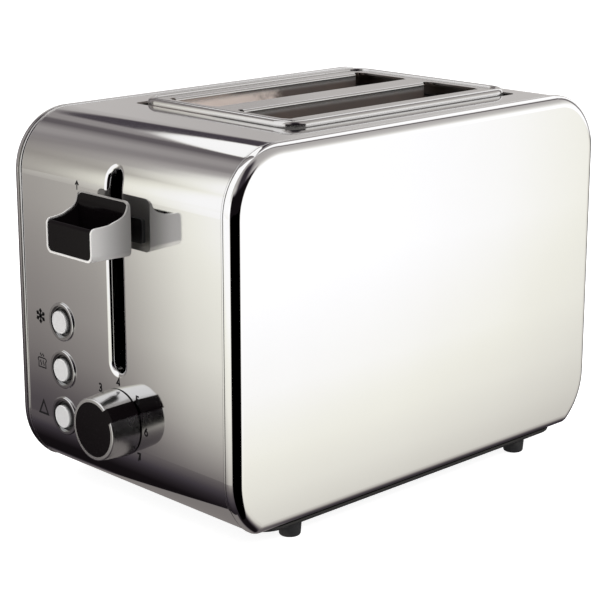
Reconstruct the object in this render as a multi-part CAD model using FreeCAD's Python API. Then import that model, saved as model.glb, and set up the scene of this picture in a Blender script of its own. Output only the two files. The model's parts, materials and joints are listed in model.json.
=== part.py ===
import FreeCAD, Part
import math
import os

# Two-slice pop-up toaster. Millimetres, +Z up, +X from the control end to the far end.
# Sub-parts are drawn in the shell's own frame: x = 0 and y = 0 at the middle of the shell,
# z = 0 at the underside of its side panels. place() moves them to the part's frame, whose
# origin is on the floor under the middle of the whole object.

# ---- driving dimensions ----
SHELL_L = 270.0          # length over the side panels
SHELL_W = 171.0          # width over the side panels
SHELL_H = 189.0          # height of the side panels
CORNER_R = 32.0          # upper corners of the side view
LOWER_R = 35.5           # lower corners, whose round is cut short by the underside
LOWER_Z = 29.8           # height of their centres
LOWER_BLEND = 7.0        # small round between them and the underside
SHEET = 1.0              # shell sheet thickness
PANEL_EDGE_R = 6.0       # rounding round a side panel
PANEL_DEPTH = 6.4        # how far a side panel wraps inwards
PANEL_GAP = 0.4          # gap between a side panel and the band
BEAD_W = 1.5             # raised bead along each edge of the band
BEAD_RISE = 0.5
RING_Z = 11.0            # underside of the side panels above the floor
BASE_DROP = 2.2          # how far the base shows below the side panels
BASE_X = 114.8           # half length of the base's flange

MECH_Y = 1.2             # lever, lever slot and knob share this centre line
LEVER_REACH = 27.3       # front of the lever from the side panels' end
GRIP_REACH = 5.0         # crumb tray grip beyond the far end
LEVER_BACK = 5.35        # back of the lever from the side panels' end
LEVER_Z0 = 130.0
LEVER_Z1 = 157.3
LEVER_NOSE_Z = 146.8     # top of the lever at its front
LEVER_HALF_BACK = 20.2
LEVER_HALF_FRONT = 17.7
LEVER_WALL = 1.0
LEVER_DOWN = 68.0        # travel down to the latch
LEVER_UP = 13.0          # extra lift above rest

LEVER_SLOT_HALF = 4.8
LEVER_SLOT_Z0 = 66.3
LEVER_SLOT_Z1 = 168.0
SLOT_ROLL_R = 2.5        # rolled outer edge of the lever slot
SLOT_LIP = 5.0           # depth of the turned-in edge

KNOB_Z = 40.6
KNOB_R_BASE = 17.2
KNOB_R_FRONT = 15.9
KNOB_REACH = 16.2
KNOB_CORE_R = 14.0
RIB_PROUD = 1.2          # pointer rib beyond the sleeve
KNOB_ANGLE = 51.0        # pointer from straight up, clockwise seen from the control end
SHAFT_R = 3.0

BUTTON_Y = 46.5
BUTTON_Z = (83.5, 58.0, 32.8)
BUTTON_R = 6.0
BUTTON_FLANGE_R = 8.2
BUTTON_TRAVEL = 2.0
BUTTON_PROUD = 1.6       # cap beyond the side panels' end
BEZEL_R = 10.2
BEZEL_TUBE_R = 9.3
BEZEL_BORE_R = 8.6
BEZEL_STEP_R = 7.7       # bore of the step half way down
BEZEL_LIP_R = 6.4        # bore of the inner lip that holds the cap's flange back
BOARD_X = -121.6         # front of the control board

SLOT_X0 = -62.5          # bread slots
SLOT_X1 = 82.5
SLOT_Y = 26.5
SLOT_W = 35.0
FRAME_X0 = -72.0         # slot frame, outer edge
FRAME_X1 = 94.5
FRAME_Y = 58.5
FRAME_R = 13.0
FRAME_GAP = 1.5
HOLE_R = 4.0             # corner radius of the hole round the slot frame
FRAME_TOP = 192.1
PLATE_TOP = 191.1
RIM_W = 4.0
WELL_FLOOR = 182.0
CHUTE_DEPTH = 13.6       # how far the slots' long sides turn down

PLATE_FRONT_X = -70.0    # chassis plates
PLATE_REAR_X = 90.5
PLATE_Y = 56.0
FLOOR_Z = 3.0            # top of the base's inner floor
DECK_Z = 4.0             # top of the plate that carries the mechanism

GUARD_Y = 13.9           # guard wires from the middle of their slot
GUARD_CLOSE = 4.08       # how far a guard moves in when the lever is down
GUARD_WIRE_R = 0.8
RAIL_R = 1.2
RAIL_Z = (36.0, 160.0)   # heights of a guard's two rails
RACK_Z = 92.0            # underside of the bread racks at rest
CARRIAGE_X = -112.0
ROD_X = -104.0
ROD_Y = -6.0
ROD_R = 2.5
BRACKET_Z = 178.0        # underside of the bracket at the rod's top
MAGNET_TOP = 38.0
MAGNET_Y = -18.6
TRAY_Z = 7.2

# ---- derived ----
END = SHELL_L / 2
SIDE = SHELL_W / 2
FACE = END - BEAD_RISE               # plain outer face of the band, from the middle
INNER = FACE - SHEET                 # inner face of the band
BAND_Y = SIDE - PANEL_DEPTH - PANEL_GAP
BAND_TOP = SHELL_H - BEAD_RISE
BODY_X = (LEVER_REACH - GRIP_REACH) / 2
X, Y, Z = FreeCAD.Vector(1, 0, 0), FreeCAD.Vector(0, 1, 0), FreeCAD.Vector(0, 0, 1)


# ---- helpers ----
def vec(x, y, z):
    return FreeCAD.Vector(x, y, z)


def box(x0, x1, y0, y1, z0, z1):
    return Part.makeBox(x1 - x0, y1 - y0, z1 - z0, vec(x0, y0, z0))


def cylinder(start, direction, radius, length):
    return Part.makeCylinder(radius, length, start, direction)


def tube(start, direction, outer, inner, length):
    return cylinder(start, direction, outer, length).cut(cylinder(start, direction, inner, length))


def fuse(shapes):
    first = shapes[0]
    rest = list(shapes[1:])
    if not rest:
        return first
    return first.fuse(rest).removeSplitter()


def rounded(a0, a1, b0, b1, radius, point):
    """Closed rounded rectangle; point(a, b) turns its two coordinates into a vector."""
    k = radius * (1 - math.sqrt(0.5))
    corners = [
        ((a1 - radius, b0), (a1 - k, b0 + k), (a1, b0 + radius)),
        ((a1, b1 - radius), (a1 - k, b1 - k), (a1 - radius, b1)),
        ((a0 + radius, b1), (a0 + k, b1 - k), (a0, b1 - radius)),
        ((a0, b0 + radius), (a0 + k, b0 + k), (a0 + radius, b0)),
    ]
    edges = []
    for i, (start, middle, end) in enumerate(corners):
        edges.append(Part.Arc(point(*start), point(*middle), point(*end)).toShape())
        following = corners[(i + 1) % len(corners)][0]
        if math.dist(end, following) > 1e-6:
            edges.append(Part.makeLine(point(*end), point(*following)))
    return Part.Wire(edges)


def slab_y(x0, x1, z0, z1, radius, y0, y1):
    wire = rounded(x0, x1, z0, z1, radius, lambda a, b: vec(a, y0, b))
    return Part.Face(wire).extrude(vec(0, y1 - y0, 0))


def slab_z(x0, x1, y0, y1, radius, z0, z1):
    wire = rounded(x0, x1, y0, y1, radius, lambda a, b: vec(a, b, z0))
    return Part.Face(wire).extrude(vec(0, 0, z1 - z0))


def slab_x(y0, y1, z0, z1, radius, x0, x1):
    wire = rounded(y0, y1, z0, z1, radius, lambda a, b: vec(x0, a, b))
    return Part.Face(wire).extrude(vec(x1 - x0, 0, 0))


def side_slab(inset, y0, y1):
    """The shell's side-view outline, inset all round, between two planes across the width."""
    arm = LOWER_R - LOWER_BLEND
    rise = LOWER_Z - LOWER_BLEND
    across = math.sqrt(arm * arm - rise * rise)
    low_x, top_x = END - LOWER_R, END - CORNER_R
    blend_x, top_z = low_x + across, SHELL_H - CORNER_R
    big, top, small = LOWER_R - inset, CORNER_R - inset, LOWER_BLEND - inset
    steep = math.atan2(rise, across)     # where the lower corner hands over to its blend

    def at(x, z, radius, angle):
        return x + radius * math.cos(angle), z + radius * math.sin(angle)

    half = math.pi / 2
    arcs = [(blend_x, LOWER_BLEND, small, -half, -steep), (low_x, LOWER_Z, big, -steep, 0.0),
            (top_x, top_z, top, 0.0, half)]
    right = [[at(x, z, r, a) for a in (a0, (a0 + a1) / 2, a1)] for x, z, r, a0, a1 in arcs]
    left = [[(-x, z) for x, z in reversed(points)] for points in reversed(right)]
    corners = right + left
    edges = []
    for i, corner in enumerate(corners):
        points = [vec(x, y0, z) for x, z in corner]
        x, z = corners[(i + 1) % len(corners)][0]
        edges.append(Part.Arc(*points).toShape())
        if points[2].distanceToPoint(vec(x, y0, z)) > 1e-6:
            edges.append(Part.makeLine(points[2], vec(x, y0, z)))
    return Part.Face(Part.Wire(edges)).extrude(vec(0, y1 - y0, 0))


def mirror_y(shape):
    return shape.mirror(vec(0, 0, 0), Y)


def edges_at(shape, test):
    return [e for e in shape.Edges if test(e.BoundBox)]


def helix(start, direction, radius, wire_r, length, turns):
    """Coil spring with its axis along direction from start."""
    pitch = length / turns
    path = Part.makeHelix(pitch, length, radius)
    slope = vec(0, 1, pitch / (2 * math.pi * radius))
    profile = Part.Wire([Part.makeCircle(wire_r, vec(radius, 0, 0), slope)])
    spring = Part.Wire(path).makePipeShell([profile], True, True)
    spring.Placement = FreeCAD.Placement(start, FreeCAD.Rotation(Z, direction))
    return spring


def place(shape):
    shape = shape.copy()
    shape.translate(vec(BODY_X, 0, RING_Z))
    return shape


# ---- shell ----
def lever_slot(extra, x0, x1):
    """Upright round-ended slot, widened by extra, from x0 to x1."""
    half = LEVER_SLOT_HALF + extra
    return slab_x(MECH_Y - half, MECH_Y + half, LEVER_SLOT_Z0 - extra, LEVER_SLOT_Z1 + extra,
                  half - 0.01, x0, x1)


def tray_opening(clear):
    return box(110, END + 1, -52 + clear, 52 - clear, 5 + clear, 20 - clear)


def frame_slab(offset, radius, z0, z1):
    """The slot frame's outline in plan, grown by offset, between two heights."""
    return slab_z(FRAME_X0 - offset, FRAME_X1 + offset, -FRAME_Y - offset, FRAME_Y + offset, radius, z0, z1)


def on_slot_rim(b):
    """The outer edge of the lever slot, from an edge's bounding box."""
    reach = LEVER_SLOT_HALF + 0.1
    narrow = b.YMin > MECH_Y - reach and b.YMax < MECH_Y + reach
    upright = b.ZMin > LEVER_SLOT_Z0 - 0.3 and b.ZMax < LEVER_SLOT_Z1 + 1
    return narrow and upright and b.XMax < -FACE + SLOT_LIP - 1.5


def band():
    """Wrap-round shell: control end, top, far end, and a lip under each end."""
    outer = side_slab(BEAD_RISE, -BAND_Y + BEAD_W, BAND_Y - BEAD_W)
    beads = []
    for y0 in (-BAND_Y, BAND_Y - BEAD_W):
        bead = side_slab(0, y0, y0 + BEAD_W)
        rims = edges_at(bead, lambda b: b.YLength < 1e-6)
        beads.append(bead.makeFillet(0.4, rims))
    shell = fuse([outer] + beads)
    shell = shell.cut(side_slab(BEAD_RISE + SHEET, -SIDE, SIDE))
    shell = shell.cut(box(-100, 100, -SIDE, SIDE, -1, 6))
    shell = shell.cut(frame_slab(FRAME_GAP, HOLE_R, WELL_FLOOR, SHELL_H + 1))
    lip_end = -FACE + SLOT_LIP
    lip = lever_slot(1.2, -END - 1, lip_end).common(side_slab(BEAD_RISE, -20, 20))
    shell = shell.fuse(lip)
    shell = shell.cut(lever_slot(0, -END - 1, lip_end + 1)).removeSplitter()
    shell = shell.makeFillet(SLOT_ROLL_R, edges_at(shell, on_slot_rim))
    holes = [cylinder(vec(-END - 1, BUTTON_Y, z), X, BEZEL_TUBE_R + 0.1, 5) for z in BUTTON_Z]
    holes.append(cylinder(vec(-END - 1, MECH_Y, KNOB_Z), X, SHAFT_R + 1.2, 5))
    holes.append(cylinder(vec(END - 4, 62, 46), X, 6.1, 6))
    holes.append(tray_opening(0))
    return shell.cut(Part.makeCompound(holes))


def side_panel():
    """Front (-Y) side panel: a shallow pan with a rounded edge."""
    skin = side_slab(0, -SIDE, -SIDE + PANEL_DEPTH)
    skin = skin.makeFillet(PANEL_EDGE_R, edges_at(skin, lambda b: b.YMax < -SIDE + 0.01))
    pocket = side_slab(SHEET, -SIDE + SHEET, -SIDE + PANEL_DEPTH + 1)
    inner_r = PANEL_EDGE_R - SHEET
    pocket = pocket.makeFillet(inner_r, edges_at(pocket, lambda b: b.YMax < -SIDE + SHEET + 0.01))
    return skin.cut(pocket)


def side_frame():
    """Black plastic frame that carries the front side panel and closes the shell's end."""
    panel_back = -SIDE + PANEL_DEPTH
    rings = [
        side_slab(BEAD_RISE + SHEET + 0.1, panel_back, panel_back + 2.4),
        side_slab(SHEET + 0.1, panel_back - 0.8, panel_back),
        side_slab(6.5, -SIDE + SHEET, panel_back - 0.8),
    ]
    frame = fuse(rings)
    window = slab_y(-118, 118, 17, 172, 18, -SIDE, -SIDE + 9)
    return frame.cut(window)


def on_recess_rim(b):
    """The inner top edge of the slot frame's raised rim."""
    clear = RIM_W - 1
    inside_x = b.XMin > FRAME_X0 + clear and b.XMax < FRAME_X1 - clear
    inside_y = b.YMin > -FRAME_Y + clear and b.YMax < FRAME_Y - clear
    return b.ZMin > FRAME_TOP - 0.01 and inside_x and inside_y


def on_long_slot_edge(b):
    """The top edges of the bread slots' long sides."""
    on_plate = b.ZMin > PLATE_TOP - 0.01 and b.ZMax < PLATE_TOP + 0.01
    straight = b.YLength < 1e-3 and b.XLength > 100
    return on_plate and straight and abs(b.YMin) < SLOT_Y + SLOT_W / 2 + 1


def slot_frame():
    """Raised steel surround with two bread slots, turned down round its outer edge."""
    outer = frame_slab(0, FRAME_R, WELL_FLOOR, FRAME_TOP)
    outer = outer.makeFillet(2.6, edges_at(outer, lambda b: b.ZMin > FRAME_TOP - 0.01))
    outer = outer.cut(frame_slab(-RIM_W, FRAME_R - RIM_W, PLATE_TOP, FRAME_TOP + 1))
    outer = outer.makeFillet(0.9, edges_at(outer, on_recess_rim))
    frame = outer.cut(frame_slab(-SHEET, FRAME_R - SHEET, WELL_FLOOR - 1, PLATE_TOP - SHEET))
    half = SLOT_W / 2
    chute_z = PLATE_TOP - CHUTE_DEPTH
    for mid in (-SLOT_Y, SLOT_Y):
        walls = [box(SLOT_X0 + 4, SLOT_X1 - 4, mid - half - SHEET, mid - half, chute_z, PLATE_TOP - 0.5),
                 box(SLOT_X0 + 4, SLOT_X1 - 4, mid + half, mid + half + SHEET, chute_z, PLATE_TOP - 0.5)]
        slot = slab_z(SLOT_X0, SLOT_X1, mid - half, mid + half, 3.0, chute_z - 1, FRAME_TOP + 1)
        reliefs = [cylinder(vec(x, y, chute_z - 1), Z, 1.8, CHUTE_DEPTH + 3)
                   for x in (SLOT_X0 + 3, SLOT_X1 - 3) for y in (mid - half, mid + half)]
        frame = frame.fuse(walls).cut(fuse([slot] + reliefs))
    frame = frame.removeSplitter()
    return frame.makeFillet(1.5, edges_at(frame, on_long_slot_edge))


def slot_well():
    """Black shelf under the gap round the slot frame; the frame stands on it."""
    shelf = frame_slab(4.5, HOLE_R + 3, WELL_FLOOR - SHEET, WELL_FLOOR)
    shelf = shelf.cut(frame_slab(-5.0, FRAME_R - 5, WELL_FLOOR - 2, WELL_FLOOR + 1))
    wall = frame_slab(4.5, HOLE_R + 3, WELL_FLOOR, BAND_TOP - SHEET)
    wall = wall.cut(frame_slab(3.5, HOLE_R + 2, WELL_FLOOR - 1, BAND_TOP))
    return fuse([shelf, wall])


# ---- base ----
def base_plate():
    """Black plastic base: a flange under the shell, a floor inside it, vents and tray rails."""
    flange = slab_z(-BASE_X, BASE_X, -82, 82, 14, -BASE_DROP, 0)
    flange = flange.makeFillet(1.2, edges_at(flange, lambda b: b.ZMax < -BASE_DROP + 0.01))
    floor = box(-99.5, 99.5, -76.4, 76.4, 0, FLOOR_Z)
    rails = [box(-62, 99.5, s * 48 - 1.5, s * 48 + 1.5, FLOOR_Z, TRAY_Z - 0.2) for s in (-1, 1)]
    base = fuse([flange, floor] + rails)
    vents = []
    for side in (-1, 1):
        for i in range(9):
            x = -64 + 16 * i
            vents.append(slab_z(x - 2, x + 2, side * 27 - 17, side * 27 + 17, 1.99, -5, 8))
    holes = [cylinder(vec(x, y, -5), Z, 1.6, 12) for x, y in foot_places()]
    return base.cut(Part.makeCompound(vents + holes))


def foot_places():
    return [(sx * 87.0, sy * 72.5) for sx in (-1, 1) for sy in (-1, 1)]


def feet():
    solids = []
    height = RING_Z - BASE_DROP
    for x, y in foot_places():
        foot = Part.makeCone(5.4, 6.1, height, vec(x, y, -RING_Z), Z)
        foot = foot.makeFillet(1.0, edges_at(foot, lambda b: b.ZMax < -RING_Z + 0.01))
        foot = foot.cut(cylinder(vec(x, y, -RING_Z), Z, 2.9, 3.5))
        foot = foot.cut(cylinder(vec(x, y, -RING_Z), Z, 1.6, height + 1))
        solids.append(foot)
    return Part.makeCompound(solids)


def foot_screws():
    solids = []
    for x, y in foot_places():
        head = cylinder(vec(x, y, -RING_Z + 1.4), Z, 2.7, 2.1)
        shank = cylinder(vec(x, y, -RING_Z + 3.5), Z, 1.5, 12.5)
        cross = [box(x - 1.6, x + 1.6, y - 0.35, y + 0.35, -RING_Z, -RING_Z + 2.4),
                 box(x - 0.35, x + 0.35, y - 1.6, y + 1.6, -RING_Z, -RING_Z + 2.4)]
        solids.append(fuse([head, shank]).cut(Part.makeCompound(cross)))
    return Part.makeCompound(solids)


def crumb_tray():
    """Shallow pan under the bread slots."""
    pan = slab_z(-60, 112, -50, 50, 4, TRAY_Z, TRAY_Z + 7)
    return pan.cut(slab_z(-59.2, 111.2, -49.2, 49.2, 3.2, TRAY_Z + 0.8, TRAY_Z + 8))


def tray_grip():
    """Curved black front of the crumb tray, flush with the shell's lower corner, with a finger ledge."""
    centre = vec(END - LOWER_R, -51.6, LOWER_Z)
    skin = tube(centre, Y, LOWER_R - BEAD_RISE, LOWER_R - 3.5, 103.2)
    skin = skin.common(tray_opening(0.4))
    block = box(112, 121, -48, 48, TRAY_Z + 0.8, 13).common(
        cylinder(vec(END - LOWER_R, -50, LOWER_Z), Y, LOWER_R - 2, 100))
    ledge = slab_z(124, END + GRIP_REACH, -30, 30, 5, 14.4, 17.0)
    ledge = ledge.makeFillet(0.8, edges_at(ledge, lambda b: b.ZLength < 1e-6))
    ledge = ledge.cut(cylinder(vec(END - LOWER_R, -50, LOWER_Z), Y, LOWER_R - 3.0, 100))
    return fuse([skin, block, ledge])


# ---- lever and carriage ----
def lever_section(inset, x, z0, half):
    wire = rounded(MECH_Y - half + inset, MECH_Y + half - inset, z0, LEVER_Z1 + 6, 3.5 - inset / 2,
                   lambda a, b: vec(x, a, b))
    return wire


def lever_prism(inset, x_back, x_front, z0):
    """Tapered block: wide at the back, narrower at the front."""
    reach = LEVER_REACH - LEVER_BACK

    def half_at(x):
        t = (-END - LEVER_BACK - x) / reach
        return LEVER_HALF_BACK + (LEVER_HALF_FRONT - LEVER_HALF_BACK) * t

    wires = [lever_section(inset, x, z0, half_at(x)) for x in (x_back, x_front)]
    return Part.makeLoft(wires, True, True)


def lever_below(drop):
    """Everything under the lever's top line, lowered by drop: level, then a hollow sweep and a round nose."""
    back, front = -END - LEVER_BACK, -END - LEVER_REACH
    top, nose_top, nose_r = LEVER_Z1 - drop, LEVER_NOSE_Z - drop, 2.6
    sweep = [vec(back - 1.0, 0, top), vec(back - 3.6, 0, top - 6.4), vec(back - 9.0, 0, top - 8.9),
             vec(front + nose_r, 0, nose_top)]
    curve = Part.BSplineCurve()
    curve.interpolate(sweep, InitialTangent=vec(-0.25, 0, -1), FinalTangent=vec(-1, 0, -0.05))
    k = nose_r * (1 - math.sqrt(0.5))
    nose_end = vec(front, 0, nose_top - nose_r)
    nose = Part.Arc(sweep[-1], vec(front + k, 0, nose_top - k), nose_end)
    rest = [nose_end, vec(front - 1, 0, nose_end.z), vec(front - 1, 0, LEVER_Z0 - 5),
            vec(back + 2, 0, LEVER_Z0 - 5), vec(back + 2, 0, top), sweep[0]]
    edges = [curve.toShape(), nose.toShape()]
    edges += [Part.makeLine(a, b) for a, b in zip(rest, rest[1:])]
    face = Part.Face(Part.Wire(edges))
    face.translate(vec(0, MECH_Y - 30, 0))
    return face.extrude(vec(0, 60, 0))


def lever_corner_cut(half, z1):
    """Rounded top corners of the lever's back wall."""
    return slab_x(MECH_Y - half, MECH_Y + half, LEVER_Z0 - 20, z1, 3.5, -END - 40, -END)


def lever_shell():
    x_back, x_front = -END - LEVER_BACK, -END - LEVER_REACH
    body = lever_prism(0, x_back, x_front, LEVER_Z0)
    body = body.common(lever_below(0)).common(lever_corner_cut(LEVER_HALF_BACK, LEVER_Z1))
    hollow = lever_prism(LEVER_WALL, x_back - LEVER_WALL, x_front - 1, LEVER_Z0 + LEVER_WALL)
    return body.cut(hollow)


def lever_insert():
    x_back, x_front = -END - LEVER_BACK - LEVER_WALL, -END - LEVER_REACH + 0.4
    body = lever_prism(LEVER_WALL, x_back, x_front, LEVER_Z0 + LEVER_WALL)
    body = body.common(lever_below(0.7)).common(lever_corner_cut(LEVER_HALF_BACK - LEVER_WALL, LEVER_Z1 - 0.7))
    scoop = lever_prism(LEVER_WALL + 1.3, x_back - 1.4, x_front + 1.5, 137.0)
    return body.cut(scoop)


def lever_stem():
    """Black arm through the lever slot, with a back plate against the lever shell."""
    back = -END - LEVER_BACK
    plate = slab_x(MECH_Y - 16.5, MECH_Y + 16.5, 134.3, 146.5, 1.5, back, back + 2.0)
    blade = box(back + 1.0, CARRIAGE_X, MECH_Y - 2.6, MECH_Y + 2.6, 138, 150)
    return fuse([plate, blade])


def carriage():
    """Pressed plate behind the lever slot that carries the racks, keeper and striker."""
    x0, x1 = CARRIAGE_X, CARRIAGE_X + 1.5
    cross = box(x0, x1, -33, 33, RACK_Z - 2, RACK_Z + 12)
    upright = box(x0, x1, -12, 10, RACK_Z + 11, 156)
    keeper_tab = box(x0, x1, MAGNET_Y - 5, MAGNET_Y + 7, RACK_Z + 11, 111)
    striker = box(x1 - 0.5, x1 + 15, 8, 16, RACK_Z + 8, RACK_Z + 10)
    return fuse([cross, upright, keeper_tab, striker])


def carriage_bushes():
    solids = []
    for z0 in (RACK_Z, 142.0):
        block = box(CARRIAGE_X + 1.5, ROD_X + 6, ROD_Y - 6, ROD_Y + 6, z0, z0 + 12)
        solids.append(block.cut(cylinder(vec(ROD_X, ROD_Y, z0 - 1), Z, ROD_R + 0.06, 14)))
    return Part.makeCompound(solids)


def keeper():
    """Soft iron plate that the electromagnet holds when the lever is down."""
    z0 = MAGNET_TOP + LEVER_DOWN + 0.4
    return box(CARRIAGE_X + 1.5, -86, MAGNET_Y - 3.6, MAGNET_Y + 3.6, z0, z0 + 3)


def bread_rack():
    """Rear rack (+Y slot): an upright blade with short wires welded across it for the bread."""
    blade = box(CARRIAGE_X + 1.5, 97, SLOT_Y - 1, SLOT_Y + 1, RACK_Z, RACK_Z + 8)
    bars = [cylinder(vec(-56 + 16.5 * i, SLOT_Y - 8, RACK_Z + 9), Y, 1.0, 16) for i in range(9)]
    return Part.makeCompound([blade] + bars)


def return_spring():
    z0 = RACK_Z + 10.6
    return helix(vec(ROD_X, 12, z0 + 0.5), Z, 3.2, 0.45, BRACKET_Z - z0 - 1.1, 22)


def guide_rod():
    return cylinder(vec(ROD_X, ROD_Y, DECK_Z), Z, ROD_R, BRACKET_Z - DECK_Z)


def mechanism_deck():
    """Steel plate on the base floor under the rod, the magnet and the contacts."""
    return box(ROD_X - 8, PLATE_FRONT_X - 2, -40, 40, FLOOR_Z, DECK_Z)


def top_bracket():
    """Shelf on the front chassis plate that holds the rod's and the spring's top ends."""
    shelf = box(ROD_X - 7, PLATE_FRONT_X, -20, 22, BRACKET_Z, BRACKET_Z + 1.5)
    flange = box(PLATE_FRONT_X - 1.2, PLATE_FRONT_X, -20, 22, BRACKET_Z - 10, BRACKET_Z)
    return fuse([shelf, flange])


# ---- electromagnet and contacts ----
def magnet_core():
    y0, y1 = MAGNET_Y - 3.6, MAGNET_Y + 3.6
    yoke = box(-104, -86, y0, y1, DECK_Z, DECK_Z + 5)
    legs = [box(x, x + 4, y0, y1, DECK_Z + 5, MAGNET_TOP) for x in (-104, -97, -90)]
    return fuse([yoke] + legs)


def magnet_coil():
    outer = slab_z(-99.6, -90.4, MAGNET_Y - 6.3, MAGNET_Y + 6.3, 2, DECK_Z + 5, MAGNET_TOP - 3)
    return outer.cut(box(-97, -93, MAGNET_Y - 3.6, MAGNET_Y + 3.6, DECK_Z, MAGNET_TOP))


def contact_block():
    block = box(-99, -84, 5, 19, DECK_Z, 19)
    return block.cut(box(-97, -86, 9, 15, 12, 20))


def contact_leaves():
    return Part.makeCompound([box(-95.0, -94.6, 9, 15, 12, 29), box(-90.0, -89.6, 9, 15, 12, 27)])


# ---- chassis and heating ----
def chassis_plate(x0):
    """Steel plate across the inside, with slots for the racks and for the guard rails."""
    plate = box(x0, x0 + 1.0, -PLATE_Y, PLATE_Y, FLOOR_Z, WELL_FLOOR - SHEET)
    cuts = []
    for side in (-1, 1):
        mid = side * SLOT_Y
        low = RACK_Z - LEVER_DOWN - 1.5
        high = RACK_Z + 8 + LEVER_UP + 2.5
        cuts.append(box(x0 - 1, x0 + 2, mid - 1.8, mid + 1.8, low, high))
        for y_rail, move in rail_spans(mid):
            y0, y1 = sorted((y_rail, y_rail + move))
            for z in RAIL_Z:
                cuts.append(box(x0 - 1, x0 + 2, y0 - 2.4, y1 + 2.4, z - 1.6, z + 1.6))
    if x0 > 0:
        cuts.append(box(x0 - 1, x0 + 2, -51.5, 51.5, FLOOR_Z - 1, 17))
    return plate.cut(Part.makeCompound(cuts))


def rail_spans(mid):
    """For each guard of a slot: its rails' place at rest, and how far they move to close."""
    offset = GUARD_Y + GUARD_WIRE_R + RAIL_R
    return [(mid + s * offset, -s * GUARD_CLOSE) for s in (-1, 1)]


def guard(slot_side, side):
    """Wire guard along one side of a bread slot: upright wires, flared at the top, welded to two rails."""
    y = slot_side * SLOT_Y + side * GUARD_Y
    low, bend, top = 32.0, 165.0, 174.5
    lean = vec(0, side * 2.4, top - bend)
    solids = []
    for i in range(10):
        foot = vec(-58 + 15.2 * i, y, low)
        knee = vec(foot.x, y, bend)
        solids.append(fuse([
            cylinder(foot, Z, GUARD_WIRE_R, bend - low),
            cylinder(knee, lean, GUARD_WIRE_R, lean.Length),
            Part.makeSphere(GUARD_WIRE_R, knee),
            Part.makeSphere(GUARD_WIRE_R, knee + lean)]))
    y_rail = y + side * (GUARD_WIRE_R + RAIL_R)
    rail_x = PLATE_FRONT_X - 3
    solids += [cylinder(vec(rail_x, y_rail, z), X, RAIL_R, PLATE_REAR_X + 4 - rail_x) for z in RAIL_Z]
    return Part.makeCompound(solids)


def cards():
    """Four mica heater cards: one outside and one inside each slot."""
    x0, x1 = PLATE_FRONT_X + 1, PLATE_REAR_X
    solids = []
    for side in (-1, 1):
        for y in (4.7, 48.1):
            y0, y1 = sorted((side * (y - 0.3), side * (y + 0.3)))
            solids.append(box(x0, x1, y0, y1, 24, 176))
    return Part.makeCompound(solids)


def ribbons():
    """Flat resistance ribbon, run to and fro over the slot side of each card."""
    solids = []
    runs, z0, step, width = 10, 42.0, 13.0, 1.8
    x0, x1 = -60.0, 82.0
    for side in (-1, 1):
        for y in (5.0, 47.6):
            y0, y1 = sorted((side * y, side * (y + 0.2)))
            strips = []
            for i in range(runs):
                z = z0 + step * i
                strips.append(box(x0, x1, y0, y1, z, z + width))
                if i < runs - 1:
                    x = x1 - width if i % 2 == 0 else x0
                    strips.append(box(x, x + width, y0, y1, z, z + step + width))
            solids.append(fuse(strips))
    return Part.makeCompound(solids)


def reflectors():
    """Bright plates behind the outer cards, and one between the inner cards."""
    x0, x1 = PLATE_FRONT_X + 1, PLATE_REAR_X
    plates = [box(x0, x1, y - 0.4, y + 0.4, 20, 178) for y in (-54.5, 0.0, 54.5)]
    return Part.makeCompound(plates)


# ---- knob ----
def knob_axis(x):
    return vec(x, MECH_Y, KNOB_Z)


def turned(shape):
    shape = shape.copy()
    shape.rotate(knob_axis(0), X, KNOB_ANGLE)
    return shape


def pointer_slot(half_width, r0, r1, x0, x1):
    slot = box(x0, x1, MECH_Y - half_width, MECH_Y + half_width, KNOB_Z + r0, KNOB_Z + r1)
    return turned(slot)


def knob_sleeve():
    """Tapered chrome sleeve with a slot for the pointer rib."""
    x_base, x_front = -END - 0.1, -END - KNOB_REACH
    cone = Part.makeCone(KNOB_R_BASE, KNOB_R_FRONT, x_base - x_front, knob_axis(x_base), vec(-1, 0, 0))
    cone = cone.makeFillet(0.7, edges_at(cone, lambda b: b.XMax < x_front + 0.01))
    cone = cone.cut(cylinder(knob_axis(x_base + 1), vec(-1, 0, 0), KNOB_CORE_R, KNOB_REACH + 3))
    return cone.cut(pointer_slot(3.6, 8, 20, x_front - 1, x_base + 1))


def knob_core():
    """Black core that fills the sleeve, with a pointer rib that stands a little proud of it."""
    x_base, x_front = -END - 0.3, -END - KNOB_REACH + 0.3
    depth, back_r, front_r = x_base - x_front, KNOB_R_BASE + RIB_PROUD, KNOB_R_FRONT + RIB_PROUD
    core = cylinder(knob_axis(x_base), vec(-1, 0, 0), KNOB_CORE_R, depth)
    rim = Part.makeCone(back_r, front_r, depth, knob_axis(x_base), vec(-1, 0, 0))
    rib = rim.common(pointer_slot(3.55, 8, 20, x_front - 1, x_base + 1))
    core = fuse([core, rib])
    return core.cut(cylinder(knob_axis(x_base + 1), vec(-1, 0, 0), SHAFT_R, 12))


def knob_shaft():
    return cylinder(knob_axis(-125.5), vec(-1, 0, 0), SHAFT_R, END + 0.3 + 11 - 125.5)


def pot_body():
    """Rotary control behind the knob, with the bush that its shaft turns in."""
    body = cylinder(knob_axis(-129), X, 8.0, 7.4)
    bush = cylinder(knob_axis(-133), X, 4.5, 4.0)
    bore = cylinder(knob_axis(-134), X, SHAFT_R + 0.06, 9.0)
    return fuse([body, bush]).cut(bore)


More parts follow.
